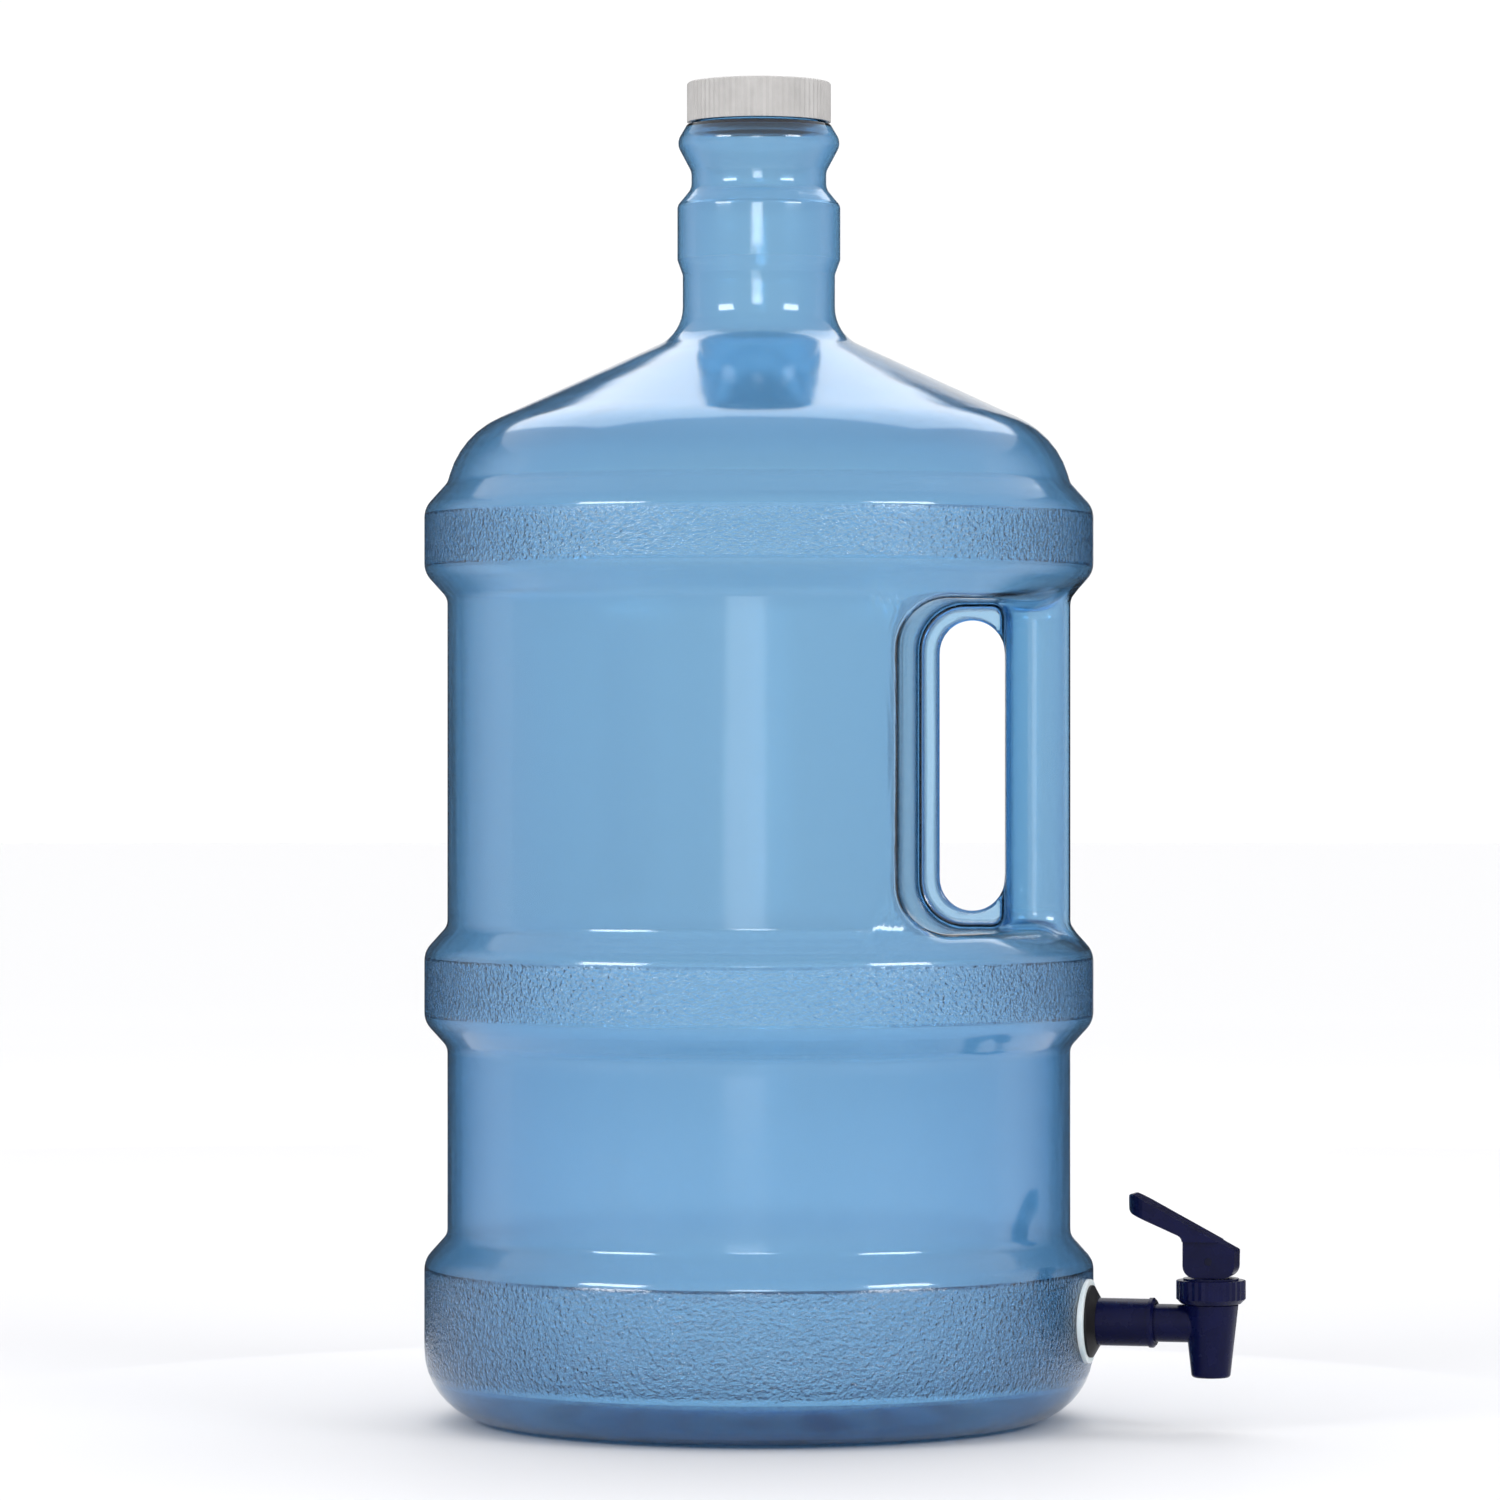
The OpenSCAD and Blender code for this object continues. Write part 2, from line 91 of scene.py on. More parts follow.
# Painted shade: the blue is drawn deeper on the lower body, and deeper again at the foot, partly for the thick
# heel and partly as a painted contact shadow. The darkening starts and is full at these heights.
LOW_WALL_MM, FOOT_MM = (155, 125), (17, 6)
LOW_PAINTED_SHADE, FOOT_HEEL_AND_PAINTED_SHADE = 0.1, 0.22


def blow_moulded_polycarbonate():
    """Blown clear blue polycarbonate: glossy and see-through, its blue deepening where the eye looks along
    the wall and, as painted shade, on the lower body and the foot, with slight upright waves from the blowing and
    a hammered grain on the three bands."""
    finish, tree, out = new_finish("blow_moulded_polycarbonate")
    place = add(tree, "TexCoord").outputs["Object"]
    banded = add(tree, "Attribute", attribute_name="hammered").outputs["Fac"]

    drawn = add(tree, "Mapping", {"Vector": place, "Scale": (1.0, 1.0, WAVE_STRETCH)}).outputs["Vector"]
    waves = add(tree, "TexNoise", {"Vector": drawn, "Scale": per_mm(WAVE_MM), "Detail": 2.0})
    waved = add(tree, "Bump", {"Height": waves.outputs["Fac"], "Strength": 0.35,
                               "Distance": WAVE_DEPTH_MM * MM})
    grain = add(tree, "TexNoise", {"Vector": place, "Scale": per_mm(HAMMER_MM), "Detail": 2.0,
                                   "Roughness": 0.6})
    height = add(tree, "Math", {0: grain.outputs["Fac"], 1: banded}, operation="MULTIPLY")
    hammered = add(tree, "Bump", {"Height": height.outputs[0], "Strength": 1.0,
                                  "Distance": HAMMER_DEPTH_MM * MM, "Normal": waved.outputs["Normal"]})
    haze = add(tree, "MapRange", {"Value": banded, "To Min": 0.11, "To Max": 0.13})

    grazing = add(tree, "LayerWeight", {"Blend": 0.32}).outputs["Facing"]
    deep = add(tree, "MapRange", {"Value": banded, "To Min": 0.42, "To Max": 0.68})
    deepened = add(tree, "Math", {0: grazing, 1: deep.outputs["Result"]}, operation="MULTIPLY")
    height_up = add(tree, "SeparateXYZ", {"Vector": place}).outputs["Z"]
    # painted shade: the lower body and the foot are drawn a deeper blue
    low = add(tree, "MapRange", {"Value": height_up, "From Min": LOW_WALL_MM[0] * MM,
                                 "From Max": LOW_WALL_MM[1] * MM, "To Max": LOW_PAINTED_SHADE})
    foot = add(tree, "MapRange", {"Value": height_up, "From Min": FOOT_MM[0] * MM,
                                  "From Max": FOOT_MM[1] * MM, "To Max": FOOT_HEEL_AND_PAINTED_SHADE})
    plain = add(tree, "MapRange", {"Value": banded, "To Min": 1.0, "To Max": 0.2})
    waist = add(tree, "Math", {0: low.outputs["Result"], 1: plain.outputs["Result"]}, operation="MULTIPLY")
    low_and_foot_painted_shade = add(tree, "Math", {0: waist.outputs[0], 1: foot.outputs["Result"]}, operation="ADD")
    depth = add(tree, "Math", {0: deepened.outputs[0], 1: low_and_foot_painted_shade.outputs[0]}, operation="ADD",
                use_clamp=True)
    tint = add(tree, "Mix", {0: depth.outputs[0], 6: linear("#d0e6f2"), 7: linear("#3aa6da")},
               data_type="RGBA")

    body = add(tree, "BsdfPrincipled", {
        "Base Color": tint.outputs[2], "Metallic": 0.0, "Roughness": haze.outputs["Result"], "IOR": 1.585,
        "Transmission Weight": 1.0, "Normal": hammered.outputs["Normal"]})
    dye = add(tree, "VolumeAbsorption", {"Color": linear("#46bae0"), "Density": 300.0})
    tree.links.new(body.outputs["BSDF"], out.inputs["Surface"])
    tree.links.new(dye.outputs["Volume"], out.inputs["Volume"])
    return finish


def moulded(name, dark, pale, roughness, ior, grain_mm, grain_depth, mottle_mm=6.0, subsurface=0.0,
            specular=0.5, metallic=0.0):
    """A moulded, cut or drawn solid: two close shades, a fine surface grain and uneven gloss."""
    finish, tree, out = new_finish(name)
    place = add(tree, "TexCoord").outputs["Object"]
    mottle = add(tree, "TexNoise", {"Vector": place, "Scale": per_mm(mottle_mm), "Detail": 3.0})
    cloud = add(tree, "MapRange", {"Value": mottle.outputs["Fac"], "From Min": 0.3, "From Max": 0.7})
    shade = add(tree, "Mix", {0: cloud.outputs["Result"], 6: linear(dark), 7: linear(pale)}, data_type="RGBA")
    gloss = add(tree, "MapRange", {"Value": mottle.outputs["Fac"], "From Min": 0.3, "From Max": 0.7,
                                   "To Min": roughness * 0.88, "To Max": roughness * 1.12})
    grain = add(tree, "TexNoise", {"Vector": place, "Scale": per_mm(grain_mm), "Detail": 2.0})
    rough = add(tree, "Bump", {"Height": grain.outputs["Fac"], "Strength": 0.5, "Distance": grain_depth * MM})
    body = add(tree, "BsdfPrincipled", {
        "Base Color": shade.outputs[2], "Metallic": metallic, "Roughness": gloss.outputs["Result"],
        "IOR": ior, "Subsurface Weight": subsurface, "Subsurface Radius": (1.0, 1.0, 1.0),
        "Subsurface Scale": 1.5 * MM, "Specular IOR Level": specular,
        "Normal": rough.outputs["Normal"]})
    tree.links.new(body.outputs["BSDF"], out.inputs["Surface"])
    return finish


polycarbonate = blow_moulded_polycarbonate()
# Off-white polypropylene, moulded satin: soft highlights, with a little light let in.
ivory_polypropylene = moulded("moulded_ivory_polypropylene", "#a3a19f", "#aeacaa", 0.36, 1.49, 0.9, 0.02,
                              subsurface=0.15)
# Closed-cell polyethylene foam, die-cut: white and matte, with open cells at its face.
foam = moulded("cut_polyethylene_foam", "#e6e6e2", "#f4f4f0", 0.75, 1.5, 0.45, 0.12, mottle_mm=2.0)
# Translucent silicone, moulded: milky, with light in its edges.
silicone = moulded("moulded_clear_silicone", "#dcecf0", "#eef7f8", 0.34, 1.41, 1.2, 0.02, subsurface=0.5)
# Black vulcanised rubber: dull, with a faint grain.
rubber = moulded("moulded_black_rubber", "#09090d", "#101015", 0.5, 1.52, 0.6, 0.04, specular=0.25)
# Unpigmented polypropylene, moulded: a waxy, milky white.
natural_polypropylene = moulded("moulded_natural_polypropylene", "#dfe4e4", "#eef0ee", 0.4, 1.49, 1.0, 0.02,
                                subsurface=0.5)
# Navy polypropylene, polished in the mould: near black, with a clean gloss.
navy_polypropylene = moulded("moulded_navy_polypropylene", "#04072c", "#070b35", 0.27, 1.49, 1.4, 0.015,
                             specular=0.14)
# Blackened steel wire, drawn: dark, so that the pin's ends hardly show in the navy lever.
black_steel = moulded("drawn_blackened_steel", "#1b1c2a", "#252636", 0.35, 1.5, 0.2, 0.01, metallic=1.0)

FINISHES = {
    "bottle": polycarbonate, "screw_cap": ivory_polypropylene, "cap_liner": foam, "wall_gasket": silicone,
    "bevel_washer": rubber, "inner_washer": rubber, "shank_nut": natural_polypropylene,
    "spacer_sleeve": navy_polypropylene, "tap_body": navy_polypropylene, "bonnet": navy_polypropylene,
    "seat_cup": silicone, "valve_stem": natural_polypropylene, "lever": navy_polypropylene,
    "lever_pin": black_steel}


def dress(piece, finish):
    """Gives a piece one finish in all of its slots."""
    if not piece.material_slots:
        piece.data.materials.append(finish)
    for holder in piece.material_slots:
        holder.material = finish


for node_name, node_finish in FINISHES.items():
    dress(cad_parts[node_name], node_finish)

# ---------- the bottle's shape ----------
# One closed mesh: the outside from the middle of the base up to the lip, then the inside down again.
# All sizes in this section are in millimetres.

WALL, BAND_R, BODY_R = 1.6, 112.5, 104.75
LIP_Z, FINISH_R, MOUTH_R, LIP_CORNER = 447.27, 21.35, 19.75, 0.5
FINISH_FOOT = 436.0               # the neck's finish, with the thread on it, stands above this height
THREAD_Z, THREAD_PITCH, THREAD_TURNS, THREAD_CREST = 438.27, 4.2, 1.25, 1.1
# The outside's corners, from the middle of the base to the lip: radius, height, fillet.
OUTSIDE = [
    (0, 8, 0), (63.5, 8, 12), (75.5, 0, 5), (112.5, 0, 24), (112.5, 53.7, 8), (104.75, 62.3, 5),
    (104.75, 125.3, 5), (112.5, 133.9, 8), (112.5, 157.4, 8), (104.75, 166, 5), (104.75, 276, 5),
    (112.5, 284.6, 8), (112.5, 306.2, 8), (104.75, 314.8, 5), (100.25, 330.6, 30), (25.65, 365.07, 14),
    (25.65, 384.87, 2), (27.45, 389.87, 2), (27.45, 408.17, 3), (22.7, 413.97, 5), (22.7, 419.57, 5),
    (27.85, 429.27, 5), (24.35, 435.27, 0.6), (21.35, 435.87, 0.6), (21.35, LIP_Z, 0)]
GRAIN_BANDS = ((16.5, 50.0), (137.5, 154.0), (288.0, 302.6))      # heights of the hammered grain
GRAIN_FADE, GRAIN_MIN_R = 1.5, BODY_R + 1.2
# The handle: the grip's inner face, half its depth and its corners; the web; the pocket; the finger slot.
GRIP_X, GRIP_HALF, GRIP_CORNER, WEB_HALF = 82.75, 14.0, 10.0, 1.5
POCKET_X, POCKET_LOW, POCKET_HIGH, POCKET_CORNER = 53.75, 165.2, 274.3, 16.0
POCKET_LEAN = math.radians(3.6)
SLOT_X, SLOT_LOW, SLOT_HIGH = 60.85, 171.0, 268.5
# How round the handle's edges are.
GRIP_FILLET, WEB_FILLET, SLOT_FILLET, RIM_SHARP, RIM_SOFTER = 4.5, 2.0, 0.8, 3.0, 7.5
RIM_SOFT_FROM, RIM_SOFT_TO = 74, 96
# The mesh: columns round the axis, counted from the middle of the grip toward the front.
COLUMN_DEG = 2
COLUMNS = 360 // COLUMN_DEG
COLUMN_TURN = math.radians(COLUMN_DEG)
FILLET_STEP_DEG = 9
# The patch of wall that the pocket replaces, and the one that the tap's hole replaces.
WINDOW_COLUMNS, WINDOW_LOW, WINDOW_HIGH = (1, 34), 157.0, 281.5
TAP_COLUMN, TAP_Z, TAP_HOLE_R, TAP_REACH, TAP_PATCH_HALF = 6, 35.0, 6.0, 3, 9.6
WALL_MIN_R, BAND_MIN_R = 60, 100  # rows of the side wall lie beyond the first, rows of a band beyond the second


def turn_corner(before, corner, after, radius):
    """The points of the arc that rounds a corner."""
    u, v = before - corner, after - corner
    u, v = u / np.linalg.norm(u), v / np.linalg.norm(v)
    half = math.acos(float(np.clip(u @ v, -1, 1))) / 2
    middle = u + v
    centre = corner + middle / np.linalg.norm(middle) * radius / math.sin(half)
    first = corner + u * radius / math.tan(half) - centre
    last = corner + v * radius / math.tan(half) - centre
    start, turn = math.atan2(first[1], first[0]), math.pi - 2 * half
    side = math.copysign(1, first[0] * last[1] - first[1] * last[0])
    count = max(3, math.ceil(math.degrees(turn) / FILLET_STEP_DEG))
    angles = start + side * turn * np.arange(count + 1) / count
    return [centre + radius * np.array([math.cos(a), math.sin(a)]) for a in angles]


def rounded(corners):
    """A path through its corners, each rounded by its own fillet."""
    points = []
    for i, (x, y, fillet) in enumerate(corners):
        here = np.array([x, y])
        if i in (0, len(corners) - 1) or not fillet:
            points.append(here)
        else:
            points += turn_corner(np.array(corners[i - 1][:2]), here, np.array(corners[i + 1][:2]), fillet)
    return points


def inset(corners, depth):
    """The same path moved to its left, for the skin's other side."""
    moved = []
    for i, (x, y, fillet) in enumerate(corners):
        if i == 0:
            moved.append((x, y + depth, 0))
            continue
        if i == len(corners) - 1:
            moved.append((x - depth, y, 0))
            continue
        here = np.array([x, y], float)
        a, b = here - np.array(corners[i - 1][:2]), np.array(corners[i + 1][:2]) - here
        a, b = a / np.linalg.norm(a), b / np.linalg.norm(b)
        left_a, left_b = np.array([-a[1], a[0]]), np.array([-b[1], b[0]])
        place = here + (left_a + left_b) * depth / (1 + left_a @ left_b)
        to_left = left_a @ b > 0
        moved.append((place[0], place[1], max(fillet - depth, 0.3) if to_left else fillet + depth))
    return moved


def row_step(z):
    """The longest step between rows: short on the thread, longer on the low band and the walls."""
    return 0.4 if z > FINISH_FOOT else 3.2 if z < 60 else 4.5


def spaced(points):
    """Adds points along the path's straights, so that no step is too long."""
    out = [points[0]]
    for a, b in zip(points, points[1:]):
        count = max(1, math.ceil(np.linalg.norm(b - a) / row_step((a[1] + b[1]) / 2)))
        out += [a + (b - a) * k / count for k in range(1, count + 1)]
    return np.array(out)


OUTER = spaced(rounded(
    OUTSIDE[:-1] + [(FINISH_R, LIP_Z, LIP_CORNER), (FINISH_R - 0.55, LIP_Z, 0)]))
INNER = spaced(rounded(
    inset(OUTSIDE, WALL)[:-1] + [(MOUTH_R, LIP_Z, LIP_CORNER), (MOUTH_R + 0.25, LIP_Z, 0)]))


def side_rows(profile, low, high):
    """The rows of a profile that belong to the side wall between two heights."""
    return profile[(profile[:, 1] > low) & (profile[:, 1] < high) & (profile[:, 0] > WALL_MIN_R)]


def lengths(path):
    """How far along a path each of its points is."""
    return np.r_[0, np.cumsum(np.linalg.norm(np.diff(path, axis=0), axis=1))]


def handle_path(profile):
    """The side wall beside the handle, with its length from bottom to top."""
    part = side_rows(profile, 120, 320)
    return {"r": part[:, 0], "z": part[:, 1], "length": lengths(part)}


# For each skin, known by its depth in the wall: its profile, its wall beside the handle, and how many rings
# of points the pocket's lining has.
PROFILES = {0: OUTER, WALL: INNER}
PATHS = {0: handle_path(OUTER), WALL: handle_path(INNER)}
RINGS = {0: 42, WALL: 28}


# ---------- distances to the handle's surfaces ----------

def outline_distance(r, z):
    """How far a point is outside the bottle's outline, seen in section. It is negative in the bottle."""
    path = side_rows(OUTER, 110, 330)
    a, b = path[:-1], path[1:]
    along = b - a
    rel = np.stack([r, z], -1)[:, None, :] - a[None]
    share = np.clip((rel * along).sum(-1) / (along * along).sum(-1), 0, 1)
    gap = rel - share[..., None] * along
    far = (gap * gap).sum(-1)
    near = far.argmin(1)
    pick = np.arange(len(r))
    side = along[near][:, 0] * rel[pick, near][:, 1] - along[near][:, 1] * rel[pick, near][:, 0]
    return np.sqrt(far[pick, near]) * np.where(side > 0, -1, 1)


def round_max(a, b, radius):
    """The larger of two distances, with the edge between them rounded."""
    return np.minimum(-radius, np.maximum(a, b)) + np.hypot(np.maximum(radius + a, 0), np.maximum(radius + b, 0))


def ease(x, low, high):
    """A smooth rise from 0 at low to 1 at high."""
    t = np.clip((x - low) / (high - low), 0, 1)
    return t * t * (3 - 2 * t)


def pocket_air(x, y, z, web=True):
    """Distance to the air of the two pockets, negative in it. The inside skin takes them without the web."""
    depth = np.abs(y)
    side = (POCKET_X - x) * math.cos(POCKET_LEAN) - (depth - WEB_HALF) * math.sin(POCKET_LEAN)
    ends = np.maximum(z - POCKET_HIGH, POCKET_LOW - z)
    qx, qy = GRIP_X + GRIP_CORNER - x, depth - GRIP_HALF + GRIP_CORNER
    grip = np.hypot(np.maximum(qx, 0), np.maximum(qy, 0)) + np.minimum(np.maximum(qx, qy), 0) - GRIP_CORNER
    walls = round_max(side, ends, POCKET_CORNER)
    walls = round_max(walls, -grip, GRIP_FILLET)
    return round_max(walls, WEB_HALF - depth, WEB_FILLET) if web else walls


def slot_air(x, z):
    """Distance to the finger slot, seen from the front."""
    radius = (GRIP_X - SLOT_X) / 2
    return np.hypot(x - SLOT_X - radius,
                    z - np.clip(z, SLOT_LOW + radius, SLOT_HIGH - radius)) - radius


def rim_radius(x):
    """The pocket's rim is soft all round and softer along the grip."""
    return RIM_SHARP + RIM_SOFTER * ease(x, RIM_SOFT_FROM, RIM_SOFT_TO)


def outside_skin(p):
    """Distance to the bottle's outside, with the pockets and the slot taken out."""
    x, y, z = p.T
    shell = outline_distance(np.hypot(x, y), z)
    body = round_max(shell, -pocket_air(x, y, z), rim_radius(x))
    return round_max(body, -slot_air(x, z), SLOT_FILLET)


def inside_skin(p):
    """Distance to the bottle's inside, one wall deeper."""
    x, y, z = p.T
    shell = outline_distance(np.hypot(x, y), z) + WALL
    return round_max(shell, WALL - pocket_air(x, y, z, web=False), rim_radius(x) - WALL)


SKINS = {0: outside_skin, WALL: inside_skin}


def settle(points, skin, held_flat, passes=5, probe=0.01, least_slope=0.2, longest_move=4):
    """Moves points onto a skin along its slope. held_flat marks those that stay on the parting plane."""
    p = points.copy()
    for _ in range(passes):
        here = skin(p)
        slope = np.stack([(skin(p + probe * e) - here) / probe for e in np.eye(3)], -1)
        slope[held_flat, 1] = 0
        step = here[:, None] * slope / np.maximum((slope * slope).sum(-1), least_slope)[:, None]
        p -= np.clip(step, -longest_move, longest_move)
    return p


# ---------- lines over the rim, along the pocket's wall and in to the parting plane ----------

RIM_LEAN = 5.4                    # how far the rim stands beyond the pocket's foot, away from the grip
RIM_GRIP_CORNER, FOOT_CORNER, FOOT_GRIP_CORNER, FOOT_LIFT = 3.0, 1.0, 0.6, 1.0
DOWN = np.linspace(0, 1, 41)      # shares of the way down the pocket's wall
CORNER_MIDDLE = 6                 # a corner's middle point, of its 13
# How much closer points are set, and over what length: at the rim, at the web and at the slot's edge.
CLOSER_AT_RIM, CLOSER_AT_WEB, CLOSER_AT_SLOT = (0.9, 7), (1.6, 5), (2.4, 2.2)
SMOOTHING = 0.35


def lerp(a, b, t):
    """The place that share t of the way from a to b."""
    return a + (b - a) * t


def walk(path, shares):
    """Points at the given shares of a path's length."""
    steps = lengths(path)
    return np.stack([np.interp(np.asarray(shares) * steps[-1], steps, path[:, k])
                     for k in range(path.shape[1])], -1)


def four_sides(low, high, left, right, left_corner, right_corner):
    """A rounded rectangle as four paths that meet in the middle of its corners: left side upward, top,
    right side downward and bottom. Coordinates are (across, height)."""
    arc = np.linspace(0, math.pi / 2, 2 * CORNER_MIDDLE + 1)

    def corner(x, z, radius, start):
        return np.stack([x + radius * np.cos(start - arc), z + radius * np.sin(start - arc)], -1)

    corners = [corner(left + left_corner, high - left_corner, left_corner, math.pi),
               corner(right - right_corner, high - right_corner, right_corner, math.pi / 2),
               corner(right - right_corner, low + right_corner, right_corner, 0),
               corner(left + left_corner, low + left_corner, left_corner, -math.pi / 2)]
    return [np.vstack([corners[side - 1][CORNER_MIDDLE:], corners[side][:CORNER_MIDDLE + 1]])
            for side in range(4)]


def on_cylinder(across, z, radius):
    """From distance along the wall, measured leftward from the grip's middle, to a point at the front."""
    turn = across / radius
    return np.stack([radius * np.cos(turn), -radius * np.sin(turn), z], -1)


def wall_line(top, foot, grip_plan, at_grip):
    """A line down the pocket's wall. At the grip it follows the grip's rounded plan."""
    straight = lerp(top, foot, DOWN[:, None])
    if not at_grip:
        return straight
    plan = walk(grip_plan, DOWN)
    return np.column_stack([plan[:, 0], plan[:, 1], straight[:, 2]])


def window_lead(edge, rim_flat, depth):
    """A line on the bottle's own round wall, from a window point (column angle, path length) to the rim."""
    t = np.linspace(0, 1, 9)[:-1]
    path = PATHS[depth]
    rim_turn = -rim_flat[0] / (BODY_R - depth)
    turn = lerp(edge[0], rim_turn, t)
    length = lerp(edge[1], float(np.interp(rim_flat[1], path["z"], path["length"])), t)
    r, z = np.interp(length, path["length"], path["r"]), np.interp(length, path["length"], path["z"])
    return np.stack([r * np.cos(turn), -r * np.sin(turn), z], -1)


def pocket_lines(window, depth):
    """For each point of the window's edge, the line that runs from it over the rim, along the pocket's wall
    and in to the parting plane, with the places of the rim and the web on it. window lists the four sides'
    points; depth is 0 outside and the wall inside."""
    radius = BODY_R - depth
    low, high = POCKET_LOW - depth, POCKET_HIGH + depth
    grip_half, grip_x = GRIP_HALF - depth, GRIP_X + depth
    grip_corner, slot_corner = GRIP_CORNER - depth, (GRIP_X - SLOT_X) / 2 - 0.01
    left_turn = math.acos((POCKET_X - depth - RIM_LEAN) / radius)
    grip_turn = math.asin(grip_half / radius)
    foot_lift, foot_y = (0, 0.0) if depth else (FOOT_LIFT, -WEB_HALF)
    # across is measured rightward, so that left is less than right
    rim = four_sides(low, high, -left_turn * radius, -grip_turn * radius, POCKET_CORNER + depth, RIM_GRIP_CORNER)
    foot = four_sides(low + foot_lift, high - foot_lift, POCKET_X - depth, grip_x,
                      POCKET_CORNER - FOOT_CORNER, FOOT_GRIP_CORNER)
    slot = four_sides(SLOT_LOW, SLOT_HIGH, SLOT_X, GRIP_X, slot_corner, slot_corner)
    arc = np.linspace(-math.pi / 2, -math.pi, 9)
    grip_plan = np.vstack([[[radius * math.cos(grip_turn), -grip_half]],
                           np.stack([grip_x + grip_corner + grip_corner * np.cos(arc),
                                     -grip_half + grip_corner + grip_corner * np.sin(arc)], -1),
                           [[grip_x, foot_y]]])
    lines = []
    for side, edge in enumerate(window):
        shares = np.linspace(0, 1, len(edge))
        rim_flat, foot_flat, slot_flat = (walk(path[side], shares) for path in (rim, foot, slot))
        rim_points = on_cylinder(-rim_flat[:, 0], rim_flat[:, 1], radius)
        foot_points = np.stack([foot_flat[:, 0], np.full(len(shares), foot_y), foot_flat[:, 1]], -1)
        first = wall_line(rim_points[0], foot_points[0], grip_plan, side in (2, 3))
        last = wall_line(rim_points[-1], foot_points[-1], grip_plan, side in (1, 2))
        for k, share in enumerate(shares[:-1]):
            # the wall between the two end lines, bent so that it meets the rim and the foot
            ends = lerp(first, last, share)
            direct = lerp(rim_points[k], foot_points[k], DOWN[:, None])
            corners = lerp(lerp(first[0], last[0], share), lerp(first[-1], last[-1], share), DOWN[:, None])
            path = ends + direct - corners
            lead = window_lead(edge[k], rim_flat[k], depth)
            parts = [lead, path]
            if not depth:
                web = np.array([slot_flat[k][0], -WEB_HALF, slot_flat[k][1]])
                middle = np.array([slot_flat[k][0], 0.0, slot_flat[k][1]])
                parts += [lerp(foot_points[k], web, np.linspace(0, 1, 7)[1:, None]),
                          lerp(web, middle, np.linspace(0, 1, 4)[1:, None])]
            lines.append((np.vstack(parts), len(lead), len(lead) + len(path)))
    return lines


def spread(line, rim, web, count):
    """Sets a line's points closer together at the rim, at the web and at the finger slot's edge."""
    seg = np.linalg.norm(np.diff(line, axis=0), axis=1)
    at = np.r_[0, np.cumsum(seg)]
    mid = (at[:-1] + at[1:]) / 2
    places = [(CLOSER_AT_RIM, at[rim]), (CLOSER_AT_WEB, at[min(web, len(at) - 1)])]
    if web < len(line):
        places.append((CLOSER_AT_SLOT, at[-1]))
    weight = np.ones(len(mid))
    for (closer, reach), place in places:
        weight += closer * np.exp(-((mid - place) / reach) ** 2)
    cost = np.r_[0, np.cumsum(seg * weight)]
    where = np.interp(np.linspace(0, cost[-1], count + 1), cost, at)
    return np.stack([np.interp(where, at, line[:, k]) for k in range(3)], -1)


# ---------- the bottle's mesh ----------

skin_points, skin_faces = [], []


def store(points):
    """Keeps new points and gives their numbers."""
    first = len(skin_points)
    skin_points.extend(map(tuple, points))
    return list(range(first, first + len(points)))


def close_face(corners, outward):
    """Keeps one face, turned over where the skin faces inward."""
    skin_faces.append(corners if outward else corners[::-1])


def join_rings(ring, following, outward):
    """Closes the strip between two closed rings of points."""
    for a in range(len(ring)):
        b = (a + 1) % len(ring)
        close_face([ring[a], ring[b], following[b], following[a]], outward)


def thread_rise(turns, z):
    """How far the neck's thread stands out at one height, all round."""
    turned = np.mod(-turns, 2 * math.pi) / (2 * math.pi)
    rise = np.zeros(len(turns))
    for lap in range(2):
        along = turned + lap
        here = THREAD_Z + THREAD_PITCH * along
        height = np.clip((1.2 - np.abs(z - here)) / 0.6, 0, 1)
        fade = np.clip(along / 0.12, 0, 1) * np.clip((THREAD_TURNS - along) / 0.12, 0, 1)
        rise = np.maximum(rise, THREAD_CREST * height * fade)
    return rise


def revolve(depth):
    """Stores one skin's points, a row for each height of its profile."""
    turns = -COLUMN_TURN * np.arange(COLUMNS)
    rows = []
    for r, z in PROFILES[depth]:
        if r < 1e-6:
            rows.append(store([(0, 0, z)]) * COLUMNS)
            continue
        radius = np.full(COLUMNS, r)
        if depth == 0 and FINISH_FOOT < z < LIP_Z - 0.6:
            radius = radius + thread_rise(turns, z)
        rows.append(store(np.stack([radius * np.cos(turns), radius * np.sin(turns),
                                    np.full(COLUMNS, z)], -1)))
    return rows


def window_rows(profile):
    """The lowest and highest row of the handle's window."""
    return [int(np.argmax((profile[:, 1] > z) & (profile[:, 0] > WALL_MIN_R))) for z in (WINDOW_LOW, WINDOW_HIGH)]


def tap_rows(profile):
    """The lowest and highest row of the tap's patch."""
    off_band = (profile[:, 0] < BAND_MIN_R) * 1000
    return [int(np.argmin(np.abs(profile[:, 1] - z) + off_band))
            for z in (TAP_Z - TAP_PATCH_HALF, TAP_Z + TAP_PATCH_HALF)]


def close_wall(rows, depth):
    """The faces of one skin, but for the two pockets' windows and the tap's patch."""
    low, high = window_rows(PROFILES[depth])
    cut = {(i, j) for i in range(low, high) for c in range(*WINDOW_COLUMNS) for j in (c, COLUMNS - 1 - c)}
    low, high = tap_rows(PROFILES[depth])
    cut |= {(i, j) for i in range(low, high) for j in range(TAP_COLUMN - TAP_REACH, TAP_COLUMN + TAP_REACH)}
    for i in range(len(rows) - 1):
        for j in range(COLUMNS):
            if (i, j) in cut:
                continue
            k = (j + 1) % COLUMNS
            corners = list(dict.fromkeys([rows[i][j], rows[i][k], rows[i + 1][k], rows[i + 1][j]]))
            if len(corners) > 2:
                close_face(corners, depth == 0)


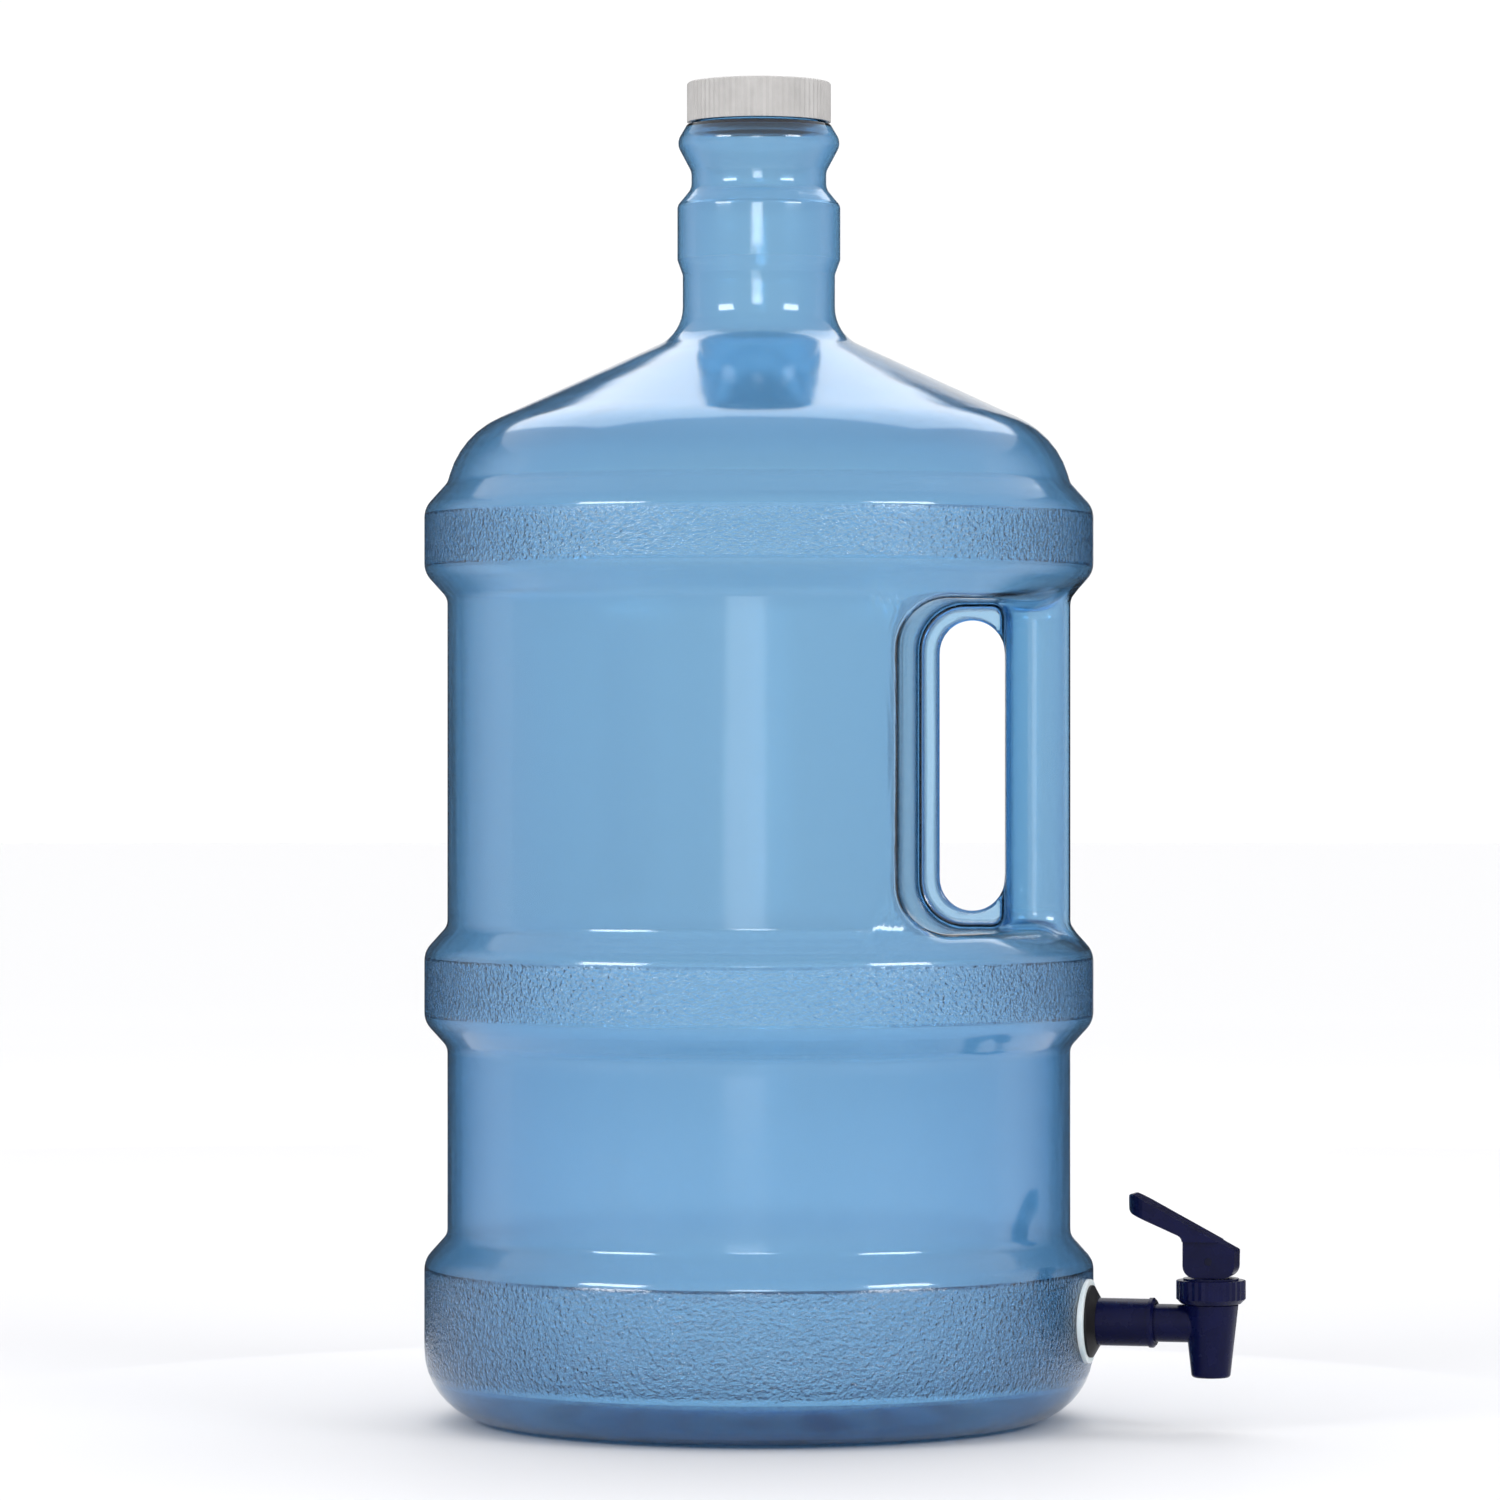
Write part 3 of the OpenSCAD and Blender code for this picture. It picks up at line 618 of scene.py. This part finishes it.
def line_pockets(rows, depth):
    """The lining of the front pocket and its mirror at the back. They meet on the parting plane."""
    profile, path = PROFILES[depth], PATHS[depth]
    low, high = window_rows(profile)
    grip_side, far_side = WINDOW_COLUMNS
    # the window's edge, as four sides of (column, row): left side upward, top, right side down, bottom
    sides = [[(far_side, i) for i in range(low, high + 1)],
             [(j, high) for j in range(far_side, grip_side - 1, -1)],
             [(grip_side, i) for i in range(high, low - 1, -1)],
             [(j, low) for j in range(grip_side, far_side + 1)]]
    at = {i: float(np.interp(profile[i][1], path["z"], path["length"])) for i in range(low, high + 1)}
    window = [[(j * COLUMN_TURN, at[i]) for j, i in side] for side in sides]
    edge_cells = [cell for side in sides for cell in side[:-1]]
    # the lining's points, by place around the pocket, place along the line, and x, y, z
    grid = np.array([spread(*line, RINGS[depth]) for line in pocket_lines(window, depth)])
    on_plane = np.zeros(grid.shape[:2], bool)
    on_plane[:, -1] = True

    def settled():
        free = settle(grid[:, 1:].reshape(-1, 3), SKINS[depth], on_plane[:, 1:].ravel())
        return free.reshape(len(grid), -1, 3)

    grid[:, 1:] = settled()
    inner = grid[:, 1:-1]
    near = (grid[:, :-2] + grid[:, 2:] + np.roll(inner, 1, 0) + np.roll(inner, -1, 0)) / 4
    grid[:, 1:-1] = lerp(inner, near, SMOOTHING)
    grid[:, 1:] = settled()

    middle = store(grid[:, -1])
    for mirror in (1, -1):
        previous = [rows[i][j] if mirror > 0 else rows[i][(COLUMNS - j) % COLUMNS] for j, i in edge_cells]
        for k in range(1, RINGS[depth] + 1):
            current = middle if k == RINGS[depth] else store(grid[:, k] * np.array([1, mirror, 1]))
            join_rings(previous, current, (mirror > 0) == (depth == 0))
            previous = current


def open_tap_hole(rows, depth):
    """Rings that turn the tap's patch into a round hole. Gives the hole's edge."""
    profile = PROFILES[depth]
    low, high = tap_rows(profile)
    left, right = TAP_COLUMN - TAP_REACH, TAP_COLUMN + TAP_REACH
    edge = ([(right, i) for i in range(low, high)] + [(j, high) for j in range(right, left, -1)]
            + [(left, i) for i in range(high, low, -1)] + [(j, low) for j in range(left, right)])
    radius, turn = BAND_R - depth, TAP_COLUMN * COLUMN_TURN
    flat_edge = np.array([[radius * math.sin((j - TAP_COLUMN) * COLUMN_TURN), profile[i][1] - TAP_Z]
                          for j, i in edge])
    angle = np.arctan2(flat_edge[:, 1], flat_edge[:, 0])
    circle = TAP_HOLE_R * np.stack([np.cos(angle), np.sin(angle)], -1)
    previous = [rows[i][j] for j, i in edge]
    for share in (0.3, 0.6, 0.85, 1.0):
        across, up = lerp(flat_edge, circle, share).T
        out = np.sqrt(radius ** 2 - across ** 2)
        current = store(np.stack([out * math.cos(turn) - across * math.sin(turn),
                                  -out * math.sin(turn) - across * math.cos(turn), TAP_Z + up], -1))
        join_rings(previous, current, depth == 0)
        previous = current
    return previous


def close_bottle():
    """Both skins, joined at the tap's hole and at the lip."""
    rows, holes = {}, {}
    for depth in (0, WALL):
        rows[depth] = revolve(depth)
        close_wall(rows[depth], depth)
        line_pockets(rows[depth], depth)
        holes[depth] = open_tap_hole(rows[depth], depth)
    join_rings(holes[0], holes[WALL], True)
    join_rings(rows[0][-1], rows[WALL][-1], True)


def hammered_share(points):
    """How much of the bands' grain each point has."""
    radius, height = np.hypot(points[:, 0], points[:, 1]), points[:, 2]
    share = np.zeros(len(points))
    for low, high in GRAIN_BANDS:
        rise, fall = ease(height, low - GRAIN_FADE, low), ease(height, high, high + GRAIN_FADE)
        share = np.maximum(share, rise * (1 - fall))
    return share * (radius > GRAIN_MIN_R)


def make_bottle():
    """The blown bottle, with its handle, neck and thread in one skin."""
    close_bottle()
    points = np.array(skin_points)
    mesh = bpy.data.meshes.new("bottle_skin")
    mesh.from_pydata((points * MM).tolist(), [], skin_faces)
    mesh.validate()
    shell = bmesh.new()
    shell.from_mesh(mesh)
    bmesh.ops.recalc_face_normals(shell, faces=shell.faces)
    shell.to_mesh(mesh)
    shell.free()
    mesh.polygons.foreach_set("use_smooth", [True] * len(mesh.polygons))
    share = hammered_share(points).astype(np.float32)
    mesh.attributes.new("hammered", "FLOAT", "POINT").data.foreach_set("value", share)
    piece = bpy.data.objects.new("bottle_skin", mesh)
    bpy.context.scene.collection.objects.link(piece)
    dress(piece, polycarbonate)
    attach(piece, "jug")
    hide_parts("bottle")
    return piece


make_bottle()

# ---------- the seat cup -----------------


def make_seat_cup():
    """The soft cup in the tap, as a copy of its moulded shape in the silicone finish."""
    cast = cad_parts["seat_cup"]
    piece = bpy.data.objects.new("seat_cup_fold", cast.data.copy())
    bpy.context.scene.collection.objects.link(piece)
    piece.matrix_world = cast.matrix_world.copy()
    dress(piece, silicone)
    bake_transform(piece)
    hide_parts("seat_cup")
    return piece


make_seat_cup()

# ---------- camera, floor and light ----------

EYE = Vector((0.0, 0.0, 0.225))
VIEW_TURN, VIEW_DISTANCE, VIEW_SIDE = math.radians(2), 2.25, -0.003


def around(turn, rise, distance):
    """A point at that distance from the jug's middle: turn goes from the front to the right, rise upward."""
    return EYE + distance * Vector((math.sin(turn) * math.cos(rise), -math.cos(turn) * math.cos(rise),
                                    math.sin(rise)))


def shown(name, data):
    """Puts a new object in the scene."""
    made = bpy.data.objects.new(name, data)
    bpy.context.scene.collection.objects.link(made)
    return made


camera_data = bpy.data.cameras.new("camera")
camera_data.lens, camera_data.sensor_width = 160.4, 36.0
camera = shown("camera", camera_data)
sideways = Vector((math.cos(VIEW_TURN), math.sin(VIEW_TURN), 0))
camera.location = around(VIEW_TURN, 0, VIEW_DISTANCE) + VIEW_SIDE * sideways
camera.rotation_euler = (math.radians(90), 0, VIEW_TURN)
bpy.context.scene.camera = camera
bpy.context.scene.view_settings.view_transform = "Standard"


def softbox(name, turn_deg, rise_deg, distance, width, height, power):
    """A rectangular white studio light aimed at the jug."""
    lamp = bpy.data.lights.new(name, "AREA")
    lamp.shape, lamp.size, lamp.size_y, lamp.energy = "RECTANGLE", width, height, power
    holder = shown(name, lamp)
    holder.location = around(math.radians(turn_deg), math.radians(rise_deg), distance)
    holder.rotation_euler = (EYE - holder.location).to_track_quat("-Z", "Y").to_euler()


softbox("left_softbox", -50, 20, 1.9, 0.75, 0.35, 9)
softbox("right_softbox", 52, 20, 1.9, 0.75, 0.35, 9)
softbox("front_softbox", 0, 11, 2.4, 0.6, 0.3, 3)
softbox("front_strip", -3, 2, 2.4, 0.6, 0.85, 2.0)
softbox("top_softbox", 180, 55, 1.9, 2.2, 1.5, 16)

FLAG_TURNS_DEG = range(98, 171, 4)        # how far round from the front each flag's columns stand
# Each column's points, as distance from the middle and height in metres: out over the floor, then upright.
FLAG_COLUMN = ((0.3, 0.002), (1.0, 0.002), (1.6, 0.002), (1.6, 0.6), (1.6, 1.2))


def graded_reflection_card():
    """A dull card with no gloss, its colour painted from near white at the jug's sides to dark behind it, so that
    its painted reflection darkens the jug's edges by degrees."""
    finish, tree, out = new_finish("painted_reflection_gradient")
    place = add(tree, "SeparateXYZ", {"Vector": add(tree, "TexCoord").outputs["Object"]})
    across = add(tree, "Math", {0: place.outputs["X"]}, operation="ABSOLUTE")
    turned = add(tree, "Math", {0: place.outputs["Y"], 1: across.outputs[0]}, operation="ARCTAN2")
    # painted reflection: the card's colour runs from near white at the sides to dark at the back
    fade = add(tree, "MapRange", {"Value": turned.outputs[0], "From Min": 0.12, "From Max": 0.9},
               interpolation_type="SMOOTHSTEP")
    shade = add(tree, "Mix", {0: fade.outputs["Result"], 6: linear("#f4f4f4"), 7: linear("#303030")},
                data_type="RGBA")
    body = add(tree, "BsdfPrincipled", {"Base Color": shade.outputs[2], "Roughness": 0.9,
                                        "Specular IOR Level": 0.0})
    tree.links.new(body.outputs["BSDF"], out.inputs["Surface"])
    return finish


def black_flags():
    """Two curved cards behind the jug, left and right, that only its gloss sees. Their colour is painted darker
    toward the back, and they run on over the floor, so that their painted reflection draws the jug's edges
    darker."""
    reflection_gradient = graded_reflection_card()
    tall = len(FLAG_COLUMN)
    for side in (-1, 1):
        turns = [math.radians(side * turn) for turn in FLAG_TURNS_DEG]
        points = [(reach * math.sin(t), -reach * math.cos(t), z) for t in turns for reach, z in FLAG_COLUMN]
        faces = [(tall * i + k, tall * i + k + tall, tall * i + k + tall + 1, tall * i + k + 1)
                 for i in range(len(turns) - 1) for k in range(tall - 1)]
        mesh = bpy.data.meshes.new("black_flag")
        mesh.from_pydata(points, [], faces)
        flag = shown("black_flag_" + ("left" if side < 0 else "right"), mesh)
        dress(flag, reflection_gradient)
        flag.visible_camera = flag.visible_diffuse = flag.visible_transmission = flag.visible_shadow = False


black_flags()


def white_backdrop():
    """An even white studio all round, a touch cooler overhead."""
    world = bpy.data.worlds.new("studio")
    world.use_nodes = True
    bpy.context.scene.world = world
    tree = world.node_tree
    tree.nodes.clear()
    way = add(tree, "SeparateXYZ", {"Vector": add(tree, "TexCoord").outputs["Generated"]})
    climb = add(tree, "MapRange", {"Value": way.outputs["Z"], "From Min": 0.1, "From Max": 0.8})
    tone = add(tree, "Mix", {0: climb.outputs["Result"], 6: linear("#ffffff"), 7: linear("#fbfbfd")},
               data_type="RGBA")
    glow = add(tree, "Background", {"Color": tone.outputs[2], "Strength": 1.04})
    tree.links.new(glow.outputs["Background"], add(tree, "OutputWorld").inputs["Surface"])


white_backdrop()


def white_laminate():
    """Pressed white laminate: matte and faintly clouded, with painted shade that makes it greyer under the jug
    and paler far from it.
    """
    finish, tree, out = new_finish("matte_white_laminate")
    place = add(tree, "TexCoord").outputs["Object"]
    cloud = add(tree, "TexNoise", {"Vector": place, "Scale": 3.0, "Detail": 3.0})
    span = add(tree, "VectorMath", {0: place}, operation="LENGTH").outputs["Value"]
    # painted shade: greyer near the jug, paler far off
    painted_shade_falloff = add(tree, "MapRange", {"Value": span, "From Min": 0.2, "From Max": 3.5})
    clouding_and_painted_shade = add(tree, "Math", {0: cloud.outputs["Fac"], 1: 0.06, 2: painted_shade_falloff.outputs["Result"]},
               operation="MULTIPLY_ADD")
    shade = add(tree, "Mix", {0: clouding_and_painted_shade.outputs[0], 6: linear("#e2e2e4"), 7: linear("#fbfbfb")},
                data_type="RGBA")
    body = add(tree, "BsdfPrincipled", {"Base Color": shade.outputs[2], "Roughness": 0.6, "IOR": 1.45,
                                        "Specular IOR Level": 0.25})
    tree.links.new(body.outputs["BSDF"], out.inputs["Surface"])
    return finish


def pale_floor():
    """A round studio floor, wide enough to meet the background far off."""
    rings, spokes, reach = 14, 96, 14.0
    points = [(0, 0, 0)] + [
        (reach * (i / rings) ** 2 * math.cos(2 * math.pi * k / spokes),
         reach * (i / rings) ** 2 * math.sin(2 * math.pi * k / spokes), 0)
        for i in range(1, rings + 1) for k in range(spokes)]
    faces = [(0, 1 + k, 1 + (k + 1) % spokes) for k in range(spokes)]
    for i in range(rings - 1):
        for k in range(spokes):
            a, b = 1 + i * spokes + k, 1 + i * spokes + (k + 1) % spokes
            faces.append((a, a + spokes, b + spokes, b))
    mesh = bpy.data.meshes.new("floor")
    mesh.from_pydata(points, [], faces)
    floor = shown("floor", mesh)
    floor.location.z = -0.0004
    dress(floor, white_laminate())


pale_floor()
